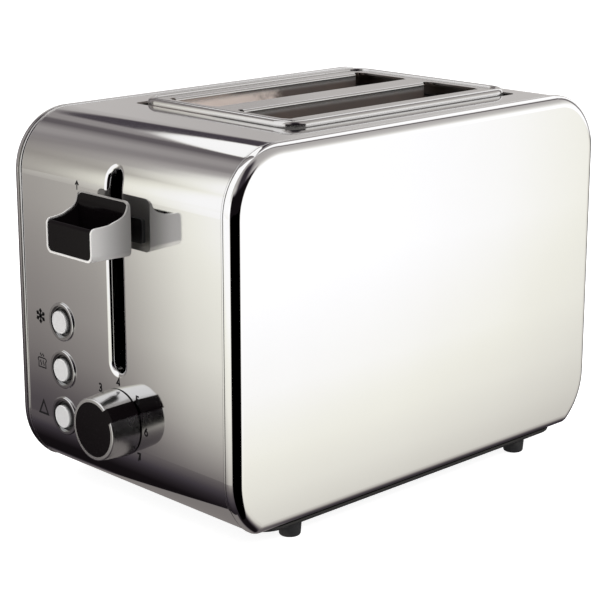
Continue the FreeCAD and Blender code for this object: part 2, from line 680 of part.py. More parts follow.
# ---- buttons ----
def bezels():
    """Chrome rings round the buttons, with a bore that steps down to a lip round the cap."""
    solids = []
    for z in BUTTON_Z:
        front = -FACE - 0.9
        flange = cylinder(vec(front, BUTTON_Y, z), X, BEZEL_R, 0.9)
        flange = flange.makeFillet(0.6, edges_at(flange, lambda b: b.XMax < front + 0.01))
        neck = cylinder(vec(-FACE, BUTTON_Y, z), X, BEZEL_TUBE_R, 5.0)
        bores = [cylinder(vec(front - 1, BUTTON_Y, z), X, BEZEL_BORE_R, 2.2),
                 cylinder(vec(front - 1, BUTTON_Y, z), X, BEZEL_STEP_R, 3.4),
                 cylinder(vec(front - 1, BUTTON_Y, z), X, BEZEL_LIP_R, 9.0),
                 cylinder(vec(front + 3.2, BUTTON_Y, z), X, BEZEL_BORE_R, 5.0)]
        solids.append(fuse([flange, neck]).cut(Part.makeCompound(bores)))
    return Part.makeCompound(solids)


def button(z):
    """Cap with a flange behind the bezel's lip, and a stem for the switch."""
    front = -END - BUTTON_PROUD
    cap = cylinder(vec(front, BUTTON_Y, z), X, BUTTON_R, 5.0)
    cap = cap.makeFillet(0.5, edges_at(cap, lambda b: b.XMax < front + 0.01))
    flange = cylinder(vec(front + 4.9, BUTTON_Y, z), X, BUTTON_FLANGE_R, 1.3)
    stem = cylinder(vec(front + 6.2, BUTTON_Y, z), X, 2.0, 0.8)
    return fuse([cap, flange, stem])


def button_spring(z):
    start = -END - BUTTON_PROUD + 6.2
    return helix(vec(start + 0.6, BUTTON_Y, z), X, 5.2, 0.4, BOARD_X - start - 1.2, 3)


def switches():
    """Small push switches on the board behind the buttons."""
    solids = []
    for z in BUTTON_Z:
        body = box(BOARD_X - 3.4, BOARD_X, BUTTON_Y - 3, BUTTON_Y + 3, z - 3, z + 3)
        plunger = cylinder(vec(BOARD_X - 5.6, BUTTON_Y, z), X, 1.6, 2.4)
        solids.append(fuse([body, plunger]))
    return Part.makeCompound(solids)


def control_board():
    tall = box(BOARD_X, BOARD_X + 1.6, 22, 66, 22, 102)
    low = box(BOARD_X, BOARD_X + 1.6, -18, 66, 22, 58)
    return fuse([tall, low])


def board_parts():
    """Timer chip, relay and capacitors on the back of the board."""
    x = BOARD_X + 1.6
    chip = box(x, x + 2.0, 36, 44, 44, 62)
    relay = box(x, x + 7.0, 50, 62, 70, 88)
    cans = [cylinder(vec(x, y, 32), X, 3.2, 7.0) for y in (30, 40, 50)]
    return Part.makeCompound([chip, relay] + cans)


def board_posts():
    places = [(30, 96), (61, 96), (61, 46), (-12, 48)]
    return Part.makeCompound([cylinder(vec(-INNER, y, z), X, 2.5, BOARD_X + INNER) for y, z in places])


# ---- mains entry ----
def cord_gland():
    """Bush in the far end where the mains lead goes in."""
    flange = cylinder(vec(FACE, 62, 46), X, 8.5, 2.5)
    flange = flange.makeFillet(0.8, edges_at(flange, lambda b: b.XMin > FACE + 2.49))
    neck = cylinder(vec(FACE - 6, 62, 46), X, 6.0, 6.0)
    nut = cylinder(vec(FACE - SHEET - 3, 62, 46), X, 8.0, 3.0)
    return fuse([flange, neck, nut]).cut(cylinder(vec(FACE - 10, 62, 46), X, 3.6, 20))


def terminal_block():
    block = box(PLATE_REAR_X + 1, PLATE_REAR_X + 16, 32, 54, 62, 74)
    ways = [cylinder(vec(PLATE_REAR_X + 6, y, 60), Z, 1.8, 20) for y in (37, 43, 49)]
    return block.cut(Part.makeCompound(ways))


# ---- all nodes ----
def all_nodes():
    panel, frame = side_panel(), side_frame()
    rack = bread_rack()
    nodes = {
        "shell_band": band(),
        "side_panel_front": panel,
        "side_panel_rear": mirror_y(panel),
        "side_frame_front": frame,
        "side_frame_rear": mirror_y(frame),
        "slot_frame": slot_frame(),
        "slot_well": slot_well(),
        "base_plate": base_plate(),
        "feet": feet(),
        "foot_screws": foot_screws(),
        "crumb_tray": crumb_tray(),
        "tray_grip": tray_grip(),
        "lever_shell": lever_shell(),
        "lever_insert": lever_insert(),
        "lever_stem": lever_stem(),
        "carriage": carriage(),
        "carriage_bushes": carriage_bushes(),
        "keeper": keeper(),
        "bread_rack_front": mirror_y(rack),
        "bread_rack_rear": rack,
        "return_spring": return_spring(),
        "guide_rod": guide_rod(),
        "mechanism_deck": mechanism_deck(),
        "top_bracket": top_bracket(),
        "magnet_core": magnet_core(),
        "magnet_coil": magnet_coil(),
        "contact_block": contact_block(),
        "contact_leaves": contact_leaves(),
        "chassis_plate_control": chassis_plate(PLATE_FRONT_X),
        "chassis_plate_far": chassis_plate(PLATE_REAR_X),
        "mica_cards": cards(),
        "heater_ribbons": ribbons(),
        "reflectors": reflectors(),
        "knob_sleeve": knob_sleeve(),
        "knob_core": knob_core(),
        "knob_shaft": knob_shaft(),
        "rotary_control": pot_body(),
        "button_bezels": bezels(),
        "push_switches": switches(),
        "control_board": control_board(),
        "board_parts": board_parts(),
        "board_posts": board_posts(),
        "cord_gland": cord_gland(),
        "terminal_block": terminal_block(),
    }
    for name, z in zip(("top", "middle", "bottom"), BUTTON_Z):
        nodes["button_" + name] = button(z)
        nodes["button_spring_" + name] = button_spring(z)
    for slot_name, slot_side in (("front", -1), ("rear", 1)):
        for side_name, side in (("outer", slot_side), ("inner", -slot_side)):
            nodes["guard_%s_%s" % (slot_name, side_name)] = guard(slot_side, side)
    return nodes


def main():
    os.makedirs("parts", exist_ok=True)
    for name, shape in all_nodes().items():
        shape = place(shape)
        if not shape.isValid():
            raise ValueError("%s is not a valid solid" % name)
        shape.exportStep("parts/%s.step" % name)


main()
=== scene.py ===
import json
import math

import bpy
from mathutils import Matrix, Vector


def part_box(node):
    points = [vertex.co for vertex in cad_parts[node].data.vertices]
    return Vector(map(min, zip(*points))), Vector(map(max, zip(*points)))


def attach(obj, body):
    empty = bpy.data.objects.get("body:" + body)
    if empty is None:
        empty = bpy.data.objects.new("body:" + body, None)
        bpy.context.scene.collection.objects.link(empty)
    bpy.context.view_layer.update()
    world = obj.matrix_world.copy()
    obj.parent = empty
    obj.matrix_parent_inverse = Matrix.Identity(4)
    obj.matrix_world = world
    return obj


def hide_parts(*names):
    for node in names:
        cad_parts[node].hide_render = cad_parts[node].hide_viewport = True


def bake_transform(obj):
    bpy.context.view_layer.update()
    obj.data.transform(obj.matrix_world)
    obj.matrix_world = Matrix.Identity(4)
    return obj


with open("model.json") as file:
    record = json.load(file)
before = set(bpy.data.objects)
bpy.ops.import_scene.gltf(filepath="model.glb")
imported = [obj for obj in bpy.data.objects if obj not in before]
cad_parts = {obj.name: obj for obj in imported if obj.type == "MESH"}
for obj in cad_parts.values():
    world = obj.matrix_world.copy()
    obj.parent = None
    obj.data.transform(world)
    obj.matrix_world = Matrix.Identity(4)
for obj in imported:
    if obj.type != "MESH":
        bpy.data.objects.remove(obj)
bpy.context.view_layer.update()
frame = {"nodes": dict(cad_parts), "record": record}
CAD = frame["nodes"]
MM = 0.001


# ---- places read from the frame ----
def low(node):
    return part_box(node)[0]


def high(node):
    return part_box(node)[1]


def middle(node):
    return (low(node) + high(node)) / 2


FACE_X = low("shell_band").x           # control face of the shell
FRONT_Y = low("side_panel_front").y


# ---- material building ----
class Nodes:
    """Short calls that add and join shader nodes in one tree."""

    def __init__(self, owner, coordinate):
        owner.use_nodes = True
        self.tree = owner.node_tree
        self.place = self.add("ShaderNodeTexCoord").outputs[coordinate]

    def add(self, kind, **inputs):
        node = self.tree.nodes.new(kind)
        for key, value in inputs.items():
            self.feed(node.inputs[key.replace("_", " ")], value)
        return node

    def feed(self, socket, value):
        if isinstance(value, bpy.types.NodeSocket):
            self.tree.links.new(value, socket)
        else:
            socket.default_value = value

    def axes(self):
        return self.add("ShaderNodeSeparateXYZ", Vector=self.place).outputs

    def stretched(self, sx, sy, sz):
        """Object coordinates scaled unevenly, which turns round noise into a grain."""
        node = self.add("ShaderNodeMapping", Vector=self.place)
        node.inputs["Scale"].default_value = (sx, sy, sz)
        return node.outputs["Vector"]

    def noise(self, scale, detail=3.0, rough=0.5, vector=None):
        node = self.add("ShaderNodeTexNoise", Scale=scale, Detail=detail, Roughness=rough)
        self.feed(node.inputs["Vector"], vector or self.place)
        return node.outputs["Fac"]

    def cells(self, scale, feature="F1", vector=None):
        node = self.add("ShaderNodeTexVoronoi", Scale=scale)
        node.feature = feature
        self.feed(node.inputs["Vector"], vector or self.place)
        return node.outputs["Distance"]

    def spread(self, value, from_low, from_high, to_low, to_high):
        node = self.add("ShaderNodeMapRange", Value=value)
        for key, number in (("From Min", from_low), ("From Max", from_high),
                            ("To Min", to_low), ("To Max", to_high)):
            node.inputs[key].default_value = number
        return node.outputs["Result"]

    def step(self, value, start, end):
        """Smooth change from 0 at start to 1 at end, either way round."""
        node = self.add("ShaderNodeMapRange", Value=value)
        node.interpolation_type = "SMOOTHSTEP"
        flip = start > end
        node.inputs["From Min"].default_value = min(start, end)
        node.inputs["From Max"].default_value = max(start, end)
        node.inputs["To Min"].default_value = 1.0 if flip else 0.0
        node.inputs["To Max"].default_value = 0.0 if flip else 1.0
        return node.outputs["Result"]

    def curve(self, value, points):
        """A value read off a line through (where, how much) points."""
        first, last = points[0][0], points[-1][0]
        ramp = self.add("ShaderNodeValToRGB", Fac=self.spread(value, first, last, 0.0, 1.0))
        elements = ramp.color_ramp.elements
        elements[0].position, elements[1].position = 0.0, 1.0
        for where, _ in points[1:-1]:
            elements.new((where - first) / (last - first))
        for element, (_, much) in zip(elements, points):
            element.color = (much, much, much, 1.0)
        return ramp.outputs["Color"]

    def math(self, operation, a, b=0.0):
        node = self.add("ShaderNodeMath")
        node.operation = operation
        self.feed(node.inputs[0], a)
        self.feed(node.inputs[1], b)
        return node.outputs["Value"]

    def blend(self, factor, a, b):
        """Between two values."""
        node = self.add("ShaderNodeMix")
        self.feed(node.inputs["Factor"], factor)
        self.feed(node.inputs[2], a)
        self.feed(node.inputs[3], b)
        return node.outputs[0]

    def mix(self, factor, a, b):
        node = self.add("ShaderNodeMix")
        node.data_type = "RGBA"
        self.feed(node.inputs["Factor"], factor)
        self.feed(node.inputs[6], a)
        self.feed(node.inputs[7], b)
        return node.outputs[2]

    def bump(self, height, distance, strength=1.0, under=None):
        node = self.add("ShaderNodeBump", Height=height, Distance=distance, Strength=strength)
        if under is not None:
            self.feed(node.inputs["Normal"], under)
        return node.outputs["Normal"]

    def edges(self, radius):
        """About 1 where the surface turns within radius, 0 on the flats."""
        bevel = self.add("ShaderNodeBevel", Radius=radius)
        bevel.samples = 4
        normal = self.add("ShaderNodeNewGeometry").outputs["Normal"]
        dot = self.add("ShaderNodeVectorMath")
        dot.operation = "DOT_PRODUCT"
        self.feed(dot.inputs[0], bevel.outputs["Normal"])
        self.feed(dot.inputs[1], normal)
        return self.spread(dot.outputs["Value"], 1.0, 0.9, 0.0, 1.0)


class Look(Nodes):
    """A material under construction."""

    def __init__(self, name):
        self.material = bpy.data.materials.new(name)
        super().__init__(self.material, "Object")
        self.shader = self.tree.nodes["Principled BSDF"]

    def set(self, **values):
        for key, value in values.items():
            self.feed(self.shader.inputs[key.replace("_", " ")], value)
        return self


def grey(value, warmth=0.0):
    """A near-neutral colour, a little warmer or cooler than grey."""
    return (value * (1 + warmth), value, value * (1 - warmth), 1.0)


def polished_steel(name, base, rough, wave=0.00002, grain=(1.0, 1.0, 1.0)):
    """Mirror-like sheet: slight waviness, faint grain, cloudy smudges from wiping and handling."""
    look = Look(name)
    cloud = look.noise(9.0, 4.0, 0.6)
    smudge = look.spread(look.noise(34.0, 5.0, 0.65), 0.52, 0.75, 0.0, 1.0)
    fine = look.noise(600.0, 2.0, 0.5, look.stretched(*grain))
    tint = look.mix(cloud, grey(base), grey(base * 0.95, 0.004))
    roughness = look.math("ADD", look.spread(cloud, 0.3, 0.7, rough * 0.85, rough * 1.2),
                          look.math("MULTIPLY", smudge, rough * 0.35))
    sheet = look.bump(look.noise(14.0, 1.0, 0.4), wave, 0.6)
    normal = look.bump(fine, 0.000004, 0.35, sheet)
    return look.set(Base_Color=tint, Metallic=1.0, Roughness=roughness, Normal=normal).material


def plated_metal(name, base, rough, warmth=0.0, dull=0.5):
    """Zinc plate, springs, iron and copper: mottled tint, darker patches and small scratches."""
    look = Look(name)
    patch = look.noise(70.0, 5.0, 0.62)
    scratch = look.spread(look.noise(240.0, 2.0, 0.5, look.stretched(1.0, 6.0, 0.4)), 0.6, 0.72, 0.0, 1.0)
    tint = look.mix(patch, grey(base, warmth), grey(base * dull, warmth * 1.4))
    roughness = look.math("SUBTRACT", look.spread(patch, 0.3, 0.7, rough * 0.8, rough * 1.3),
                          look.math("MULTIPLY", scratch, rough * 0.3))
    normal = look.bump(patch, 0.00003, 0.4)
    return look.set(Base_Color=tint, Metallic=1.0, Roughness=roughness, Normal=normal).material


def moulded_plastic(name, base, rough, texture=0.00003, warmth=0.0, gloss_coat=0.0):
    """Moulded plastic: fine mould texture, slight shade changes and rubbed, smoother edges."""
    look = Look(name)
    pores = look.noise(900.0, 3.0, 0.6)
    cloud = look.noise(22.0, 4.0, 0.6)
    worn = look.edges(0.0008)
    shade = look.mix(cloud, grey(base, warmth), grey(base * 1.35 + 0.002, warmth))
    tint = look.mix(look.math("MULTIPLY", worn, 0.35), shade, grey(base * 1.8 + 0.004, warmth))
    roughness = look.math("SUBTRACT", look.spread(cloud, 0.3, 0.7, rough * 0.88, rough * 1.15),
                          look.math("MULTIPLY", worn, rough * 0.25))
    normal = look.bump(pores, texture, 0.5)
    look.set(Base_Color=tint, Roughness=roughness, Normal=normal)
    look.set(Coat_Weight=gloss_coat, Coat_Roughness=0.06)
    return look.material


def glossy_black():
    """Piano-black plastic: deep gloss, dust-fine bump, faint wiping marks."""
    look = Look("gloss_black")
    wipe = look.noise(60.0, 4.0, 0.6, look.stretched(1.0, 0.5, 2.0))
    dust = look.spread(look.noise(1500.0, 1.0, 0.5), 0.68, 0.8, 0.0, 1.0)
    tint = look.mix(dust, (0.0035, 0.0026, 0.003, 1.0), (0.01, 0.009, 0.01, 1.0))
    roughness = look.math("ADD", look.spread(wipe, 0.3, 0.7, 0.09, 0.17), look.math("MULTIPLY", dust, 0.2))
    normal = look.bump(look.noise(40.0, 2.0, 0.5), 0.00003, 0.3)
    return look.set(Base_Color=tint, Roughness=roughness, Normal=normal, Specular_IOR_Level=0.07).material


def bezel_chrome():
    """Bright ring whose bore is painted dark behind the rim, as shade, and left dull."""
    look = Look("bezel_chrome")
    fine = look.noise(500.0, 3.0, 0.6)
    # painted shade: the bore turns near black with depth behind the rim
    shaded_bore = look.step(look.axes()[0], FACE_X + 0.0002, FACE_X + 0.0016)
    tint = look.mix(look.math("MULTIPLY", shaded_bore, 0.85), look.mix(fine, grey(0.6), grey(0.52)), grey(0.05))
    roughness = look.math("ADD", look.spread(fine, 0.3, 0.7, 0.05, 0.09), look.math("MULTIPLY", shaded_bore, 0.25))
    normal = look.bump(fine, 0.000003, 0.3)
    return look.set(Base_Color=tint, Metallic=1.0, Roughness=roughness, Normal=normal).material


def slot_steel():
    """Satin surround of the bread slots; the sides that turn down into the slots carry painted reflections,
    pale towards the rear left and near black with brown patches elsewhere.
    """
    look = Look("slot_steel")
    line = look.noise(380.0, 3.0, 0.6, look.stretched(0.3, 6.0, 6.0))
    x, y, z = look.axes()
    depth = look.math("SUBTRACT", high("slot_frame").z, z)
    # the sides that turn down into the slots, where the painted reflections go
    turned_wall = look.math("MULTIPLY", look.step(depth, 0.002, 0.006), 0.9)
    cloud = look.noise(40.0, 4.0, 0.6)
    # painted reflections: pale where the walls would mirror lit steel, near black with brown patches where
    # they would mirror the dark insides
    painted_bright_reflection = look.mix(cloud, (0.9, 0.79, 0.73, 1.0), (0.74, 0.63, 0.57, 1.0))
    painted_dark_reflection = look.mix(cloud, (0.018, 0.016, 0.016, 1.0), (0.09, 0.05, 0.033, 1.0))
    along = look.math("ADD", x, look.math("MULTIPLY", cloud, 0.08))
    # where the painted dark reflection lies: the right end of the rear slot and the whole front side
    dark_reflection_mask = look.math("MAXIMUM", look.step(along, 0.058, 0.075), look.step(y, 0.004, -0.004))
    tint = look.mix(turned_wall, look.mix(line, grey(0.64, 0.008), grey(0.57, 0.018)), look.mix(dark_reflection_mask, painted_bright_reflection, painted_dark_reflection))
    roughness = look.math("ADD", look.spread(line, 0.3, 0.7, 0.08, 0.13), look.math("MULTIPLY", turned_wall, 0.35))
    normal = look.bump(line, 0.000004, 0.4)
    metal = look.math("SUBTRACT", 1.0, look.math("MULTIPLY", turned_wall, 0.75))
    return look.set(Base_Color=tint, Metallic=metal, Roughness=roughness, Normal=normal).material


def satin_lever():
    """Satin silver lever cover, with painted shade darkening it close to the shell."""
    look = Look("satin_lever")
    line = look.noise(500.0, 3.0, 0.6, look.stretched(0.5, 5.0, 5.0))
    cloud = look.noise(30.0, 3.0, 0.5)
    # painted shade: darker towards the shell
    shell_shade = look.step(look.axes()[0], low("lever_shell").x + 0.004, high("lever_shell").x + 0.001)
    tint = look.mix(shell_shade, look.mix(line, grey(0.86, 0.012), grey(0.8, 0.018)), grey(0.34, 0.03))
    roughness = look.spread(cloud, 0.3, 0.7, 0.28, 0.36)
    normal = look.bump(line, 0.000003, 0.3)
    look.set(Base_Color=tint, Metallic=0.6, Roughness=roughness, Normal=normal)
    return look.material


def silver_paint():
    """Metallic silver paint on the button caps; behind the face the shank is painted dark grey as shade deep
    in the bezel.
    """
    look = Look("silver_paint")
    flake = look.cells(2600.0)
    cloud = look.noise(60.0, 3.0, 0.5)
    tint = look.mix(flake, grey(0.78, 0.004), grey(0.66, 0.008))
    roughness = look.spread(cloud, 0.3, 0.7, 0.34, 0.46)
    # painted shade: dark grey where the cap sits back inside the bezel
    recess_shade = look.step(look.axes()[0], FACE_X - 0.002, FACE_X + 0.0006)
    tint = look.mix(recess_shade, tint, grey(0.09))
    normal = look.bump(flake, 0.00001, 0.25)
    look.set(Base_Color=tint, Metallic=0.35, Roughness=roughness, Normal=normal)
    return look.material


def rubber():
    """Foot rubber: dull, grainy and a little dusty."""
    look = Look("rubber")
    grain = look.noise(700.0, 4.0, 0.7)
    dust = look.spread(look.noise(90.0, 4.0, 0.6), 0.5, 0.75, 0.0, 1.0)
    tint = look.mix(dust, (0.016, 0.016, 0.017, 1.0), (0.04, 0.038, 0.036, 1.0))
    normal = look.bump(grain, 0.00005, 0.6)
    roughness = look.spread(grain, 0.3, 0.7, 0.6, 0.8)
    return look.set(Base_Color=tint, Roughness=roughness, Normal=normal).material


def mica_sheet():
    """Pressed mica: pale flakes with silvery, browned patches."""
    look = Look("mica_sheet")
    flake = look.cells(420.0)
    brown = look.spread(look.noise(26.0, 4.0, 0.6), 0.4, 0.7, 0.0, 1.0)
    painted_bright_reflection = look.mix(flake, (0.52, 0.45, 0.35, 1.0), (0.36, 0.29, 0.21, 1.0))
    tint = look.mix(brown, painted_bright_reflection, (0.30, 0.17, 0.08, 1.0))
    normal = look.bump(flake, 0.00008, 0.5)
    roughness = look.spread(flake, 0.0, 0.6, 0.3, 0.55)
    return look.set(Base_Color=tint, Roughness=roughness, Normal=normal).material


def oxidised_ribbon():
    """Resistance ribbon, browned by its own heat."""
    look = Look("oxidised_ribbon")
    scale = look.noise(260.0, 5.0, 0.7)
    tint = look.mix(scale, (0.16, 0.11, 0.075, 1.0), (0.36, 0.24, 0.15, 1.0))
    roughness = look.spread(scale, 0.3, 0.7, 0.38, 0.6)
    normal = look.bump(scale, 0.00003, 0.5)
    return look.set(Base_Color=tint, Metallic=0.8, Roughness=roughness, Normal=normal).material


def circuit_board():
    """Resin board with a woven grain and copper areas."""
    look = Look("circuit_board")
    weave = look.noise(900.0, 2.0, 0.5, look.stretched(1.0, 1.0, 3.0))
    copper = look.spread(look.cells(160.0, "DISTANCE_TO_EDGE"), 0.05, 0.08, 1.0, 0.0)
    tint = look.mix(copper, (0.16, 0.10, 0.035, 1.0), (0.10, 0.14, 0.05, 1.0))
    normal = look.bump(weave, 0.00003, 0.5)
    roughness = look.spread(weave, 0.3, 0.7, 0.35, 0.5)
    return look.set(Base_Color=tint, Roughness=roughness, Normal=normal).material


def printed_ink():
    """Pad-printed marks: near-black ink with slightly uneven cover."""
    look = Look("printed_ink")
    cover = look.noise(1400.0, 3.0, 0.6)
    tint = look.mix(cover, (0.004, 0.0035, 0.004, 1.0), (0.012, 0.011, 0.012, 1.0))
    normal = look.bump(cover, 0.00001, 0.4)
    roughness = look.spread(cover, 0.3, 0.7, 0.6, 0.8)
    return look.set(Base_Color=tint, Roughness=roughness, Normal=normal, Specular_IOR_Level=0.15).material


LOOKS = {
    "steel_polished": polished_steel("band_steel", 0.78, 0.055, grain=(0.2, 2.0, 0.2)),
    "steel_panel": polished_steel("panel_steel", 0.82, 0.05, grain=(0.2, 0.2, 2.0)),
    "steel_zinc": plated_metal("zinc_plate", 0.62, 0.34, 0.01, 0.7),
    "steel_bright": plated_metal("bright_wire", 0.66, 0.24, 0.006, 0.7),
    "steel_reflector": plated_metal("reflector_sheet", 0.6, 0.22, 0.03, 0.75),
    "chrome_trim": polished_steel("bright_chrome", 0.84, 0.06),
    "iron": plated_metal("iron", 0.3, 0.42, 0.03, 0.6),
    "copper": plated_metal("copper_winding", 0.42, 0.3, 0.45, 0.6),
    "brass": plated_metal("brass_leaf", 0.55, 0.28, 0.3, 0.7),
    "nichrome": oxidised_ribbon(),
    "mica": mica_sheet(),
    "plastic_base": moulded_plastic("base_plastic", 0.006, 0.5),
    "plastic_gloss": glossy_black(),
    "plastic_button": silver_paint(),
    "plastic_inner": moulded_plastic("inner_plastic", 0.02, 0.5),
    "rubber_feet": rubber(),
    "board": circuit_board(),
}

NODE_LOOKS = {
    "slot_frame": slot_steel(),
    "button_bezels": bezel_chrome(),
    "lever_shell": satin_lever(),
    "knob_sleeve": polished_steel("knob_satin", 0.66, 0.24, 0.000005, (4.0, 0.3, 0.3)),
}

for part in frame["record"]["subparts"]:
    node = CAD[part["node"]]
    node.data.materials.clear()
    node.data.materials.append(NODE_LOOKS.get(part["node"]) or LOOKS[part["material_slot"]])


# ---- springs: still copies of the CAD coils in place of the originals ----
def live_spring(name):
    """A copy of the coil, baked in place, standing in for the hidden CAD one."""
    spring = bpy.data.objects.new(name + "_coil", CAD[name].data.copy())
    bpy.context.scene.collection.objects.link(spring)
    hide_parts(name)
    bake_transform(spring)


live_spring("return_spring")
for button in ("top", "middle", "bottom"):
    live_spring("button_spring_" + button)


# ---- printed marks on the control face ----
def arc(cx, cy, rx, ry, start, end, count=9):
    """Points along part of an ellipse, angles in degrees from the right-hand side upwards."""
    turns = [math.radians(start + (end - start) * k / (count - 1)) for k in range(count)]
    return [(cx + rx * math.cos(t), cy + ry * math.sin(t)) for t in turns]


def ribbon(path, width):
    """Both edges of a line of the given width, mitred at its corners."""
    path = [Vector(point) for point in path]
    closed = (path[0] - path[-1]).length < 1e-9
    if closed:
        path = path[:-1]
    left, right = [], []
    count = len(path)
    for k, point in enumerate(path):
        before = path[k - 1] if k or closed else None
        after = path[(k + 1) % count] if k < count - 1 or closed else None
        into = (point - before).normalized() if before is not None else (after - point).normalized()
        out = (after - point).normalized() if after is not None else into
        normal = Vector((-into.y - out.y, into.x + out.x)).normalized()
        reach = width / 2 / max(0.4, normal.dot(Vector((-into.y, into.x))))
        left.append(point + normal * reach)
        right.append(point - normal * reach)
    if closed:
        left.append(left[0])
        right.append(right[0])
    return left, right


def print_mark(name, paths, width, to_world, lift):
    """Lines of ink as thin raised ribbons; to_world turns (u, v) into a point on the surface."""
    verts, faces = [], []
    for path in paths:
        left, right = ribbon(path, width)
        first = len(verts)
        for a, b in zip(left, right):
            for point, height in ((a, 0), (b, 0), (b, 1), (a, 1)):
                verts.append(to_world(point.x, point.y) + lift * (0.00006 * height - 0.00003))
        last = len(left) - 1
        for k in range(last):
            i = first + 4 * k
            for a, b in ((0, 1), (1, 2), (2, 3), (3, 0)):
                faces.append((i + a, i + b, i + 4 + b, i + 4 + a))
        faces.append((first + 3, first + 2, first + 1, first))
        end = first + 4 * last
        faces.append((end, end + 1, end + 2, end + 3))
    mesh = bpy.data.meshes.new(name)
    mesh.from_pydata(verts, [], faces)
    mesh.validate()
    mark = bpy.data.objects.new(name, mesh)
    bpy.context.scene.collection.objects.link(mark)
    mesh.materials.append(INK)
    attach(mark, "root")
    return mark


def on_face(y, z):
    """Marks on the control face: u to the right as its user sees it, v up, in millimetres."""
    return lambda u, v: Vector((FACE_X + FACE_SET_BACK, y - u * MM, z + v * MM))


INK = printed_ink()
FACE_SET_BACK = 0.0005                 # the beads stand this far proud of the plain face
TOWARDS_USER = Vector((-1, 0, 0))
button_y = middle("button_top").y
symbol_y = button_y + 0.0185


def snowflake():
    paths = []
    for turn in (90, 30, 150):
        t = math.radians(turn)
        way = Vector((math.cos(t), math.sin(t)))
        paths.append([-way * 4.0, way * 4.0])
        for end in (way, -way):
            for bend in (40, -40):
                b = math.atan2(end.y, end.x) + math.radians(bend)
                paths.append([end * 2.1, end * 2.1 + Vector((math.cos(b), math.sin(b))) * 1.5])
    return paths


def bread_slice(size):
    """Outline of a slice of toast."""
    crust = arc(-2.1, 1.2, 1.5, 1.0, 250, 90, 7) + arc(2.1, 1.2, 1.5, 1.0, 90, -70, 7)
    outline = [(-3.1, -2.9), (-2.9, 0.2)] + crust[1:-1] + [(2.9, 0.2), (3.1, -2.9), (-3.1, -2.9)]
    return [(x * size, y * size) for x, y in outline]


def steam(x, low_end, high_end):
    rise = high_end - low_end
    return [(x + 0.45 * math.sin(k / 8 * 2 * math.pi), low_end + rise * k / 8) for k in range(9)]


DIGITS = {
    "1": [[(-0.9, 1.1), (0.2, 2.0), (0.2, -2.0)]],
    "2": [arc(0, 0.9, 1.1, 1.1, 165, -20, 9) + [(-1.1, -2.0), (1.2, -2.0)]],
    "3": [arc(0, 0.95, 1.0, 1.0, 150, -80, 9) + arc(0, -0.95, 1.15, 1.05, 80, -150, 10)],
    "4": [[(0.6, -2.0), (0.6, 2.0), (-1.2, -0.8), (1.3, -0.8)]],
    "5": [[(1.0, 2.0), (-0.8, 2.0), (-0.9, 0.3)] + arc(0, -0.7, 1.1, 1.25, 130, -150, 11)],
    "6": [[(0.8, 1.9), (-0.6, 0.6)] + arc(0, -0.8, 1.1, 1.15, 150, -210, 15)],
    "7": [[(-1.1, 2.0), (1.1, 2.0), (-0.4, -2.0)]],
}

print_mark("mark_frozen", snowflake(), 1.1, on_face(symbol_y, middle("button_top").z - 0.0005), TOWARDS_USER)
print_mark("mark_reheat", [bread_slice(1.0)] + [steam(x, -1.9, 0.9) for x in (-1.1, 1.1)]
           + [steam(x, 3.1, 4.6) for x in (-1.0, 1.0)], 0.65,
           on_face(symbol_y, middle("button_middle").z), TOWARDS_USER)
print_mark("mark_cancel", [[(0, 4.0), (3.7, -3.0), (-3.7, -3.0), (0, 4.0)]], 1.1,
           on_face(symbol_y, middle("button_bottom").z), TOWARDS_USER)
knob_mid = middle("knob_sleeve")
for number, glyph in DIGITS.items():
    turn = math.radians(45 * (int(number) - 4))
    spot = (knob_mid.y - 0.021 * math.sin(turn), knob_mid.z + 0.021 * math.cos(turn))
    print_mark("dial_" + number, glyph, 0.95, on_face(*spot), TOWARDS_USER)
lever_mid = middle("lever_shell")
print_mark("mark_lift", [[(0, -2.0), (0, 1.6)], [(-1.3, 0.4), (0, 2.2), (1.3, 0.4)]],
           0.7, on_face(lever_mid.y + 0.0292, low("lever_shell").z + 0.027), TOWARDS_USER)


# ---- studio: floor, cards that only show in reflections, lights, camera ----
def sheet_mesh(name, corners, material):
    mesh = bpy.data.meshes.new(name)
    mesh.from_pydata([Vector(c) for c in corners], [], [range(len(corners))])
    obj = bpy.data.objects.new(name, mesh)
    bpy.context.scene.collection.objects.link(obj)
    mesh.materials.append(material)
    return obj


def only_in_reflections(obj):
    obj.visible_camera = False
    obj.visible_diffuse = False
    obj.visible_transmission = False
    obj.visible_volume_scatter = False
    obj.visible_shadow = False
    return obj


def floor_material():
    look = Look("pale_floor")
    speck = look.noise(60.0, 4.0, 0.6)
    tint = look.mix(speck, (0.5, 0.5, 0.5, 1.0), (0.46, 0.46, 0.46, 1.0))
    look.set(Base_Color=tint, Roughness=0.9, Emission_Color=(1.0, 1.0, 1.0, 1.0), Emission_Strength=0.9)
    return look.material


def warm(nodes, value, blue=0.9):
    """Studio light as a colour: neutral when bright, a little yellower half-way, pinkish when faint."""
    colour = nodes.add("ShaderNodeCombineColor", Green=value)
    nodes.feed(colour.inputs["Red"], nodes.math("POWER", value, 0.95))
    share = nodes.math("ADD", nodes.math("MULTIPLY", nodes.step(value, 0.8, 0.97), 1.0 - blue), blue)
    lift = nodes.math("MINIMUM", nodes.math("MULTIPLY", value, 0.3), 0.012)
    nodes.feed(colour.inputs["Blue"], nodes.math("ADD", nodes.math("MULTIPLY", value, share), lift))
    return colour.outputs["Color"]


def bearing(nodes, x, y):
    """Compass angle of a point or direction in degrees, from +X towards +Y."""
    return nodes.math("DEGREES", nodes.math("ARCTAN2", y, x))


# What the steel mirrors. Walls of light stand beyond the long panel and beyond the control end;
# between them, where the camera stands, the studio is dark.
WHITE = 1.28                     # emission that steel shows as white


def unlit(nodes, turn):
    """The camera side: 1 where no light stands, over the bearings between the two walls."""
    return nodes.math("MULTIPLY", nodes.step(turn, -168.0, -162.0), nodes.step(turn, -70.0, -76.0))


